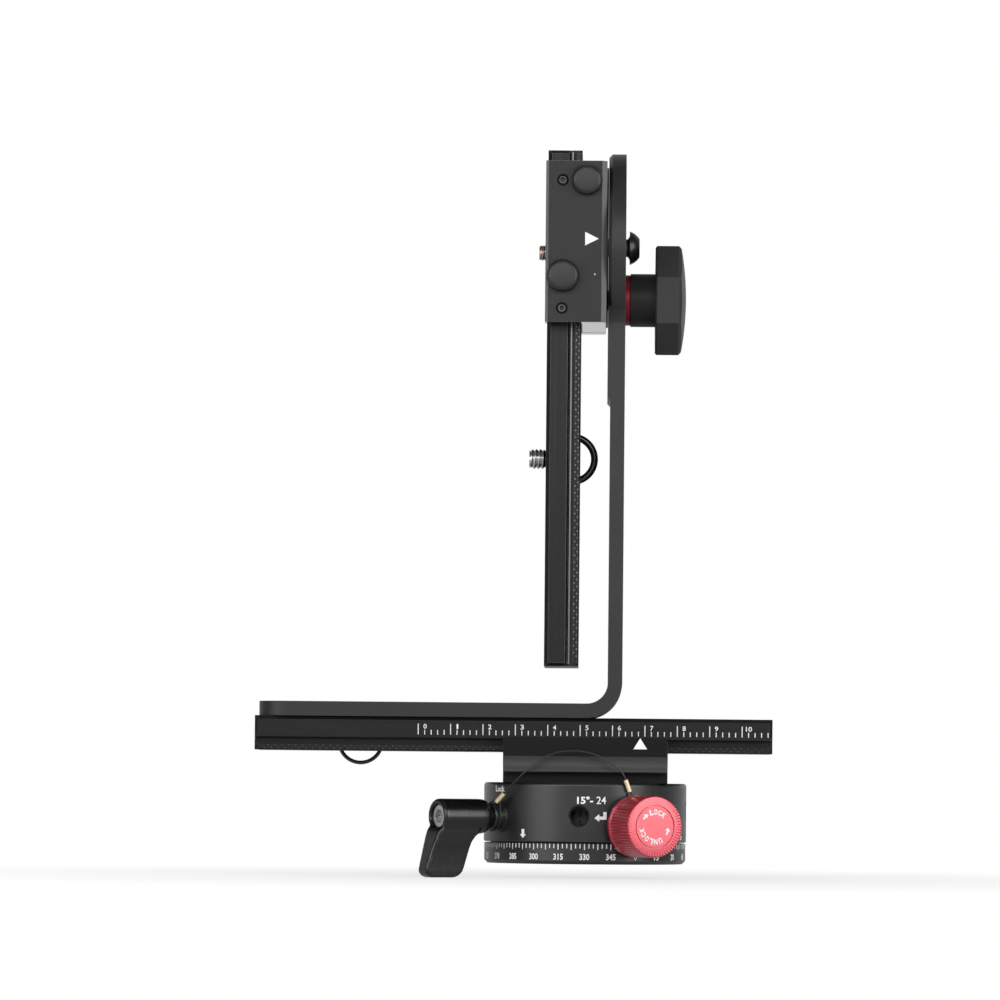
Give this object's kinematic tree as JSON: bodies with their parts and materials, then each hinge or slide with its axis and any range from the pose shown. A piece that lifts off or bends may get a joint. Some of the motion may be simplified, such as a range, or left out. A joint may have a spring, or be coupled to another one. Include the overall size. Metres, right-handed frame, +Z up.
{
  "type": "panoramic tripod head",
  "caption": "Multi-row panoramic tripod head with an indexing rotator, a graduated rail in a clamp, an L bracket and a tilting vertical camera rail",
  "frame": {"origin": "centre of the tripod socket's mouth, on the rotator's bottom face", "axes": "+Z up along the pan axis, +X along the lower rail towards the bracket's leg, graduated fronts face -Y"},
  "size_m": [0.16, 0.0919, 0.2258],
  "materials": {
    "black_anodised": "satin black anodised",
    "rail_black": "satin black anodised, engraved scale",
    "knob_black": "satin black anodised, turned and milled",
    "red_anodised": "bright red anodised",
    "steel": "turned",
    "dark_steel": "black oxide",
    "brass": "turned",
    "drum_alloy": "dark hard anodised",
    "dark_plastic": "black slip washer",
    "slip_plastic": "smooth slip bearing",
    "wire": "plastic coated wire",
    "ferrule": "pale gold, crimped",
    "stud_metal": "threaded, warm grey"
  },
  "bodies": {
    "base": {"base_ring": "black_anodised", "tripod_bushing": "steel", "index_drum": "drum_alloy", "drum_screws": "steel", "bearing_ring": "slip_plastic", "pan_axle": "steel", "axle_washer": "brass"},
    "rotor": {"housing": "black_anodised", "centre_bushing": "brass", "lever_bushing": "dark_steel", "plunger_barrel": "dark_steel", "plunger_spring": "steel", "tether_cable": "wire", "tether_ferrules": "ferrule", "lower_clamp": "black_anodised", "clamp_base_screws": "dark_steel", "lower_guide_pins": "steel", "lower_jaw_springs": "steel"},
    "index_pin": {"index_pin": "steel"},
    "plunger_knob": {"plunger_knob": "red_anodised"},
    "brake_plug": {"brake_plug": "brass"},
    "lock_lever": {"lever_spindle": "dark_steel", "lock_lever": "knob_black", "lever_screw": "steel"},
    "lower_jaw": {"lower_jaw": "black_anodised"},
    "lower_clamp_knob": {"lower_clamp_screw": "steel", "lower_clamp_knob": "knob_black"},
    "lower_rail": {"lower_rail": "rail_black"},
    "bracket": {"l_bracket": "black_anodised", "pivot_bushing": "brass"},
    "bracket_screw": {"bracket_screw": "dark_steel"},
    "bracket_ring": {"bracket_ring": "dark_steel"},
    "upper_clamp": {"friction_washer": "dark_plastic", "upper_clamp": "black_anodised", "pivot_screw": "dark_steel", "tilt_stud": "steel", "wall_set_screws": "dark_steel", "rail_stop_screw": "stud_metal", "upper_guide_pins": "steel", "upper_jaw_springs": "steel", "button_springs": "steel"},
    "tilt_knob": {"tilt_washer": "red_anodised", "tilt_knob": "knob_black", "tilt_knob_insert": "brass"},
    "upper_jaw": {"upper_jaw": "black_anodised"},
    "upper_thumb_screw": {"upper_thumb_screw": "knob_black"},
    "upper_button": {"upper_button": "knob_black"},
    "lower_button": {"lower_button": "knob_black"},
    "vertical_rail": {"vertical_rail": "rail_black"},
    "camera_washer": {"camera_washer": "dark_steel"},
    "camera_screw": {"camera_screw": "dark_steel"},
    "camera_ring": {"camera_ring": "dark_steel"}
  },
  "joints": [
    {"name": "pan", "type": "hinge", "parent": "base", "child": "rotor", "pos_m": [0, 0, 0], "axis": [0, 0, 1], "continuous": true},
    {"name": "lever_turn", "type": "hinge", "parent": "rotor", "child": "lock_lever", "pos_m": [-0.03355, -0.02179, 0.0144], "axis": [-0.8387, -0.5446, 0], "range_deg": [-90, 90]},
    {"name": "brake_press", "type": "slide", "parent": "rotor", "child": "brake_plug", "axis": [-0.8387, -0.5446, 0], "range_m": [-0.00025, 0.00025]},
    {"name": "plunger_turn", "type": "hinge", "parent": "rotor", "child": "plunger_knob", "pos_m": [0.01803, -0.0357, 0.0118], "axis": [0.4509, -0.8926, 0], "range_deg": [-180, 0]},
    {"name": "index_pin_slide", "type": "slide", "parent": "rotor", "child": "index_pin", "axis": [0.4509, -0.8926, 0], "range_m": [-0.0009, 0]},
    {"name": "lower_jaw_slide", "type": "slide", "parent": "rotor", "child": "lower_jaw", "axis": [0, 1, 0], "range_m": [0, 0.002]},
    {"name": "lower_clamp_turn", "type": "hinge", "parent": "lower_jaw", "child": "lower_clamp_knob", "pos_m": [0, 0.03, 0.0304], "axis": [0, 1, 0], "range_deg": [0, 360]},
    {"name": "lower_rail_slide", "type": "slide", "parent": "rotor", "child": "lower_rail", "axis": [1, 0, 0], "range_m": [-0.03, 0.024]},
    {"name": "bracket_slide", "type": "slide", "parent": "lower_rail", "child": "bracket", "axis": [1, 0, 0], "range_m": [-0.012, 0.012]},
    {"name": "bracket_screw_turn", "type": "hinge", "parent": "bracket", "child": "bracket_screw", "pos_m": [-0.0702, 0, 0.0374], "axis": [0, 0, 1], "continuous": true},
    {"name": "bracket_ring_flip", "type": "hinge", "parent": "bracket_screw", "child": "bracket_ring", "pos_m": [-0.0702, 0, 0.0374], "axis": [1, 0, 0], "range_deg": [-85, 85]},
    {"name": "tilt", "type": "hinge", "parent": "bracket", "child": "upper_clamp", "pos_m": [0, 0, 0.1923], "axis": [1, 0, 0], "range_deg": [-90, 90]},
    {"name": "tilt_knob_turn", "type": "hinge", "parent": "upper_clamp", "child": "tilt_knob", "pos_m": [0.02, 0, 0.1759], "axis": [1, 0, 0], "range_deg": [0, 360]},
    {"name": "upper_jaw_slide", "type": "slide", "parent": "upper_clamp", "child": "upper_jaw", "axis": [0, 1, 0], "range_m": [0, 0.002]},
    {"name": "upper_clamp_turn", "type": "hinge", "parent": "upper_jaw", "child": "upper_thumb_screw", "pos_m": [0.0011, 0.03, 0.1923], "axis": [0, 1, 0], "range_deg": [0, 360]},
    {"name": "upper_button_press", "type": "slide", "parent": "upper_clamp", "child": "upper_button", "axis": [0, 1, 0], "range_m": [0, 0.002], "stiffness_N_per_m": 400, "deforming": ["button_springs"]},
    {"name": "lower_button_press", "type": "slide", "parent": "upper_clamp", "child": "lower_button", "axis": [0, 1, 0], "range_m": [0, 0.002], "stiffness_N_per_m": 400, "deforming": ["button_springs"]},
    {"name": "vertical_rail_slide", "type": "slide", "parent": "upper_clamp", "child": "vertical_rail", "axis": [0, 0, 1], "range_m": [-0.008, 0.024]},
    {"name": "camera_slide", "type": "slide", "parent": "vertical_rail", "child": "camera_washer", "axis": [0, 0, 1], "range_m": [-0.03, 0.008]},
    {"name": "camera_screw_turn", "type": "hinge", "parent": "camera_washer", "child": "camera_screw", "pos_m": [-0.005, 0, 0.126], "axis": [1, 0, 0], "continuous": true},
    {"name": "camera_ring_flip", "type": "hinge", "parent": "camera_screw", "child": "camera_ring", "pos_m": [-0.005, 0, 0.126], "axis": [0, 0, 1], "range_deg": [-85, 85]}
  ],
  "couplings": [
    {"joint": "brake_press", "follows": "lever_turn", "m_per_rad": 0.00015852},
    {"joint": "index_pin_slide", "follows": "plunger_turn", "m_per_rad": 0.00028616},
    {"joint": "lower_clamp_turn", "follows": "lower_jaw_slide", "rad_per_m": 3141.5},
    {"joint": "upper_clamp_turn", "follows": "upper_jaw_slide", "rad_per_m": 3141.5}
  ]
}
